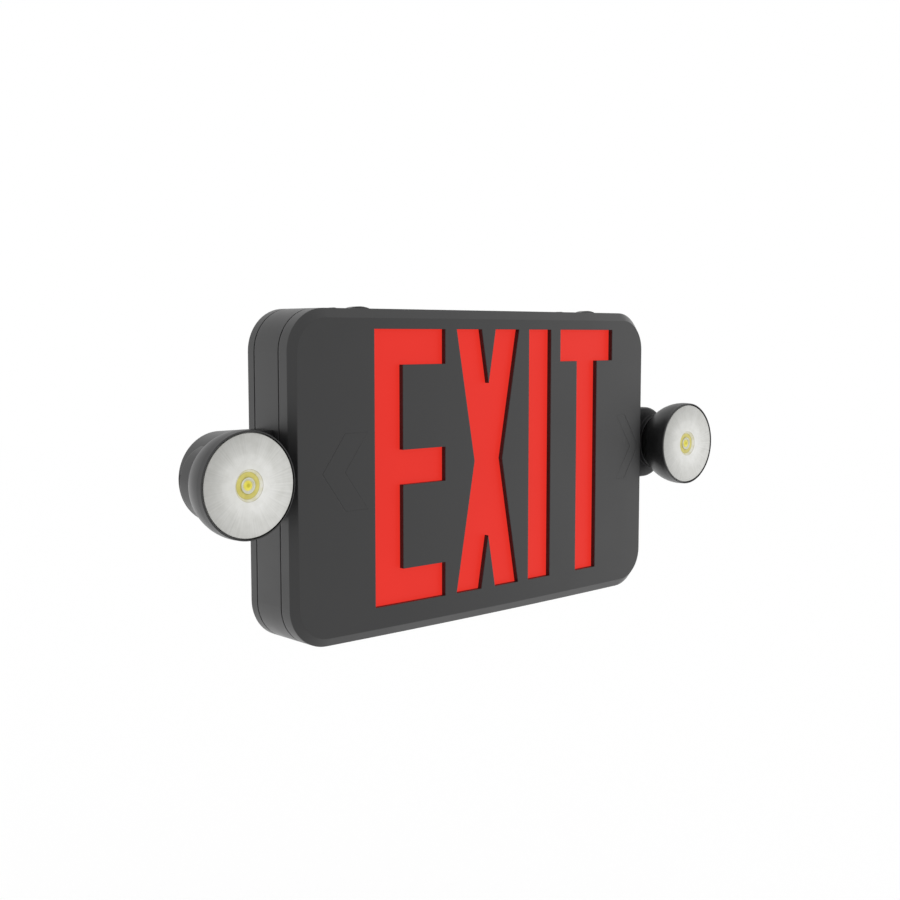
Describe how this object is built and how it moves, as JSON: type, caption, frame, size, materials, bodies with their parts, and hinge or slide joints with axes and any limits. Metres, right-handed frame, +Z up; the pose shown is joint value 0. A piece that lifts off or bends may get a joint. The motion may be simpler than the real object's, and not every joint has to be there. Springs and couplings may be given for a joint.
{
  "type": "emergency exit light",
  "caption": "Wall-mounted exit sign with a bowed black housing, red cut-out letters and a round adjustable lamp head on an arm at each end.",
  "frame": {"origin": "middle of the back plate's rear face, on the wall, at the centre of the wire entry", "axes": "+X to the viewer's right along the housing, +Y into the wall, so the sign faces -Y, +Z up"},
  "size_m": [0.4088, 0.0513, 0.1816],
  "materials": {
    "housing_black": "satin moulded thermoplastic",
    "panel_red": "smooth translucent plastic",
    "inner_white": "matt white plastic",
    "lens_clear": "clear polished acrylic",
    "led_yellow": "yellow phosphor",
    "led_red": "clear red resin",
    "board_white": "white solder mask",
    "board_green": "green solder mask",
    "aluminium": "plain",
    "steel": "zinc plated",
    "laminations": "varnished iron core with a taped winding",
    "relay_blue": "satin plastic",
    "sleeve_black": "plain",
    "terminal_green": "satin plastic",
    "battery_sleeve": "heat-shrink sleeve round metal cells"
  },
  "bodies": {
    "housing": {"back_plate": "housing_black", "middle_frame": "housing_black", "front_cover": "housing_black", "exit_panel": "panel_red", "reflector_tray": "inner_white", "led_strip_top": "board_white", "led_strip_bottom": "board_white", "sign_leds": "led_red", "control_board": "board_green", "board_screws": "steel", "transformer": "laminations", "relay": "relay_blue", "capacitors": "sleeve_black", "terminal_block": "terminal_green", "board_connectors": "inner_white", "battery_pack": "battery_sleeve", "battery_strap": "inner_white", "strap_screws": "steel", "test_switch": "sleeve_black", "status_led": "led_red", "status_lens": "panel_red", "arm_screws": "steel", "lamp_arm_left": "housing_black", "lamp_arm_right": "housing_black", "arm_lid_left": "housing_black", "arm_lid_right": "housing_black"},
    "swivel_left": {"pivot_saddle_left": "inner_white", "pivot_stud_left": "steel", "pivot_spring_left": "steel", "pivot_nut_left": "steel"},
    "swivel_right": {"pivot_saddle_right": "inner_white", "pivot_stud_right": "steel", "pivot_spring_right": "steel", "pivot_nut_right": "steel"},
    "head_left": {"lamp_bowl_left": "housing_black", "lamp_lens_left": "lens_clear", "lamp_led_left": "led_yellow", "lamp_board_left": "board_white", "heat_sink_left": "aluminium"},
    "head_right": {"lamp_bowl_right": "housing_black", "lamp_lens_right": "lens_clear", "lamp_led_right": "led_yellow", "lamp_board_right": "board_white", "heat_sink_right": "aluminium"},
    "button": {"test_button": "housing_black", "switch_plunger": "panel_red"}
  },
  "joints": [
    {"name": "head_spin_left", "type": "hinge", "parent": "housing", "child": "swivel_left", "pos_m": [-0.1769, -0.0473, 0.0024], "axis": [0, 1, 0], "range_deg": [-170, 170]},
    {"name": "head_tilt_left", "type": "hinge", "parent": "swivel_left", "child": "head_left", "pos_m": [-0.1769, -0.0473, 0.0024], "axis": [1, 0, 0], "range_deg": [-28, 28]},
    {"name": "head_spin_right", "type": "hinge", "parent": "housing", "child": "swivel_right", "pos_m": [0.1769, -0.0473, 0.0024], "axis": [0, 1, 0], "range_deg": [-170, 170]},
    {"name": "head_tilt_right", "type": "hinge", "parent": "swivel_right", "child": "head_right", "pos_m": [0.1769, -0.0473, 0.0024], "axis": [1, 0, 0], "range_deg": [-28, 28]},
    {"name": "test_button_press", "type": "slide", "parent": "housing", "child": "button", "axis": [0, 0, 1], "range_m": [0, 0.0012], "stiffness_N_per_m": 600, "springref_m": -0.001}
  ]
}
